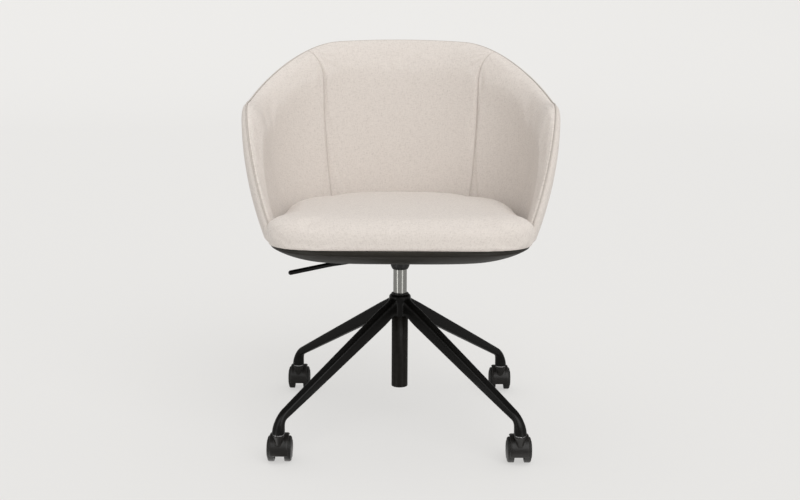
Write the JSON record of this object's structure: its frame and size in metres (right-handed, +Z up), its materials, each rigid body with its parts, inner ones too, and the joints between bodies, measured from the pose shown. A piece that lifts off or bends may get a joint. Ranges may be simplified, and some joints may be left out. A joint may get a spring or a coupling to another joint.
{
  "type": "swivel office tub chair",
  "caption": "Upholstered tub chair with a padded seat and wraparound back on a four-leg swivel base with gas lift and twin-wheel casters.",
  "frame": {"origin": "floor point under the swivel axis", "axes": "+Z up, the chair faces -Y, +X to its left arm as the sitter sees it"},
  "size_m": [0.626, 0.5455, 0.8003],
  "materials": {
    "black_coated_metal": "black powder coat, satin",
    "black_plastic": "moulded black plastic, fine texture",
    "bright_steel": "zinc plated steel",
    "chrome_tube": "chromed gas spring tube",
    "black_rubber": "soft black rubber",
    "wheel_rubber": "black wheel with a soft tread",
    "shell_plastic": "moulded structural shell, unseen",
    "plywood": "plain plywood board, unseen",
    "beige_cloth": "beige melange woven upholstery cloth over foam"
  },
  "bodies": {
    "base": {"base_casting": "black_coated_metal", "standing_tube": "black_coated_metal", "guide_bush": "black_plastic", "thrust_washer_lower": "bright_steel", "thrust_balls": "bright_steel", "front_left_stem": "bright_steel", "front_right_stem": "bright_steel", "back_left_stem": "bright_steel", "back_right_stem": "bright_steel"},
    "rod": {"thrust_washer_upper": "bright_steel", "piston_rod": "bright_steel", "rod_washer": "bright_steel", "rod_clip": "bright_steel", "rubber_bumper": "black_rubber"},
    "seat": {"pressure_tube": "chrome_tube", "collar_sleeve": "black_plastic", "mechanism_housing": "black_coated_metal", "lever_pin": "bright_steel", "seat_board": "plywood", "mechanism_bolts": "bright_steel", "tee_nuts": "bright_steel", "seat_pan": "black_plastic", "pan_screws": "bright_steel", "seat_cushion": "beige_cloth", "shell_core": "shell_plastic", "shell_screws": "bright_steel", "back_pad": "beige_cloth", "left_arm_pad": "beige_cloth", "right_arm_pad": "beige_cloth", "outer_cover": "beige_cloth", "rim_piping": "beige_cloth"},
    "valve": {"valve_pin": "bright_steel"},
    "lever": {"lever": "black_plastic"},
    "front_left_caster": {"front_left_hood": "black_plastic", "front_left_axle": "bright_steel"},
    "front_left_wheel_a_body": {"front_left_wheel_a": "wheel_rubber"},
    "front_left_wheel_b_body": {"front_left_wheel_b": "wheel_rubber"},
    "front_right_caster": {"front_right_hood": "black_plastic", "front_right_axle": "bright_steel"},
    "front_right_wheel_a_body": {"front_right_wheel_a": "wheel_rubber"},
    "front_right_wheel_b_body": {"front_right_wheel_b": "wheel_rubber"},
    "back_left_caster": {"back_left_hood": "black_plastic", "back_left_axle": "bright_steel"},
    "back_left_wheel_a_body": {"back_left_wheel_a": "wheel_rubber"},
    "back_left_wheel_b_body": {"back_left_wheel_b": "wheel_rubber"},
    "back_right_caster": {"back_right_hood": "black_plastic", "back_right_axle": "bright_steel"},
    "back_right_wheel_a_body": {"back_right_wheel_a": "wheel_rubber"},
    "back_right_wheel_b_body": {"back_right_wheel_b": "wheel_rubber"}
  },
  "joints": [
    {"name": "seat_swivel", "type": "hinge", "parent": "base", "child": "rod", "pos_m": [0, 0, 0.2], "axis": [0, 0, 1], "continuous": true},
    {"name": "seat_height", "type": "slide", "parent": "rod", "child": "seat", "axis": [0, 0, 1], "range_m": [-0.04, 0.06]},
    {"name": "height_lever", "type": "hinge", "parent": "seat", "child": "lever", "pos_m": [-0.036, 0, 0.3946], "axis": [0, 1, 0], "range_deg": [0, 6], "stiffness_Nm_per_rad": 2, "springref_deg": -5.73},
    {"name": "valve_press", "type": "slide", "parent": "seat", "child": "valve", "axis": [0, 0, 1], "range_m": [-0.004, 0]},
    {"name": "front_left_swivel", "type": "hinge", "parent": "base", "child": "front_left_caster", "pos_m": [-0.2325, -0.2325, 0.05], "axis": [0, 0, 1], "continuous": true},
    {"name": "front_left_wheel_a_spin", "type": "hinge", "parent": "front_left_caster", "child": "front_left_wheel_a_body", "pos_m": [-0.2325, -0.2105, 0.025], "axis": [1, 0, 0], "continuous": true},
    {"name": "front_left_wheel_b_spin", "type": "hinge", "parent": "front_left_caster", "child": "front_left_wheel_b_body", "pos_m": [-0.2325, -0.2105, 0.025], "axis": [1, 0, 0], "continuous": true},
    {"name": "front_right_swivel", "type": "hinge", "parent": "base", "child": "front_right_caster", "pos_m": [0.2325, -0.2325, 0.05], "axis": [0, 0, 1], "continuous": true},
    {"name": "front_right_wheel_a_spin", "type": "hinge", "parent": "front_right_caster", "child": "front_right_wheel_a_body", "pos_m": [0.2325, -0.2105, 0.025], "axis": [1, 0, 0], "continuous": true},
    {"name": "front_right_wheel_b_spin", "type": "hinge", "parent": "front_right_caster", "child": "front_right_wheel_b_body", "pos_m": [0.2325, -0.2105, 0.025], "axis": [1, 0, 0], "continuous": true},
    {"name": "back_left_swivel", "type": "hinge", "parent": "base", "child": "back_left_caster", "pos_m": [-0.2325, 0.2325, 0.05], "axis": [0, 0, 1], "continuous": true},
    {"name": "back_left_wheel_a_spin", "type": "hinge", "parent": "back_left_caster", "child": "back_left_wheel_a_body", "pos_m": [-0.2325, 0.2545, 0.025], "axis": [1, 0, 0], "continuous": true},
    {"name": "back_left_wheel_b_spin", "type": "hinge", "parent": "back_left_caster", "child": "back_left_wheel_b_body", "pos_m": [-0.2325, 0.2545, 0.025], "axis": [1, 0, 0], "continuous": true},
    {"name": "back_right_swivel", "type": "hinge", "parent": "base", "child": "back_right_caster", "pos_m": [0.2325, 0.2325, 0.05], "axis": [0, 0, 1], "continuous": true},
    {"name": "back_right_wheel_a_spin", "type": "hinge", "parent": "back_right_caster", "child": "back_right_wheel_a_body", "pos_m": [0.2325, 0.2545, 0.025], "axis": [1, 0, 0], "continuous": true},
    {"name": "back_right_wheel_b_spin", "type": "hinge", "parent": "back_right_caster", "child": "back_right_wheel_b_body", "pos_m": [0.2325, 0.2545, 0.025], "axis": [1, 0, 0], "continuous": true}
  ],
  "couplings": [
    {"joint": "valve_press", "follows": "height_lever", "m_per_rad": -0.036}
  ]
}
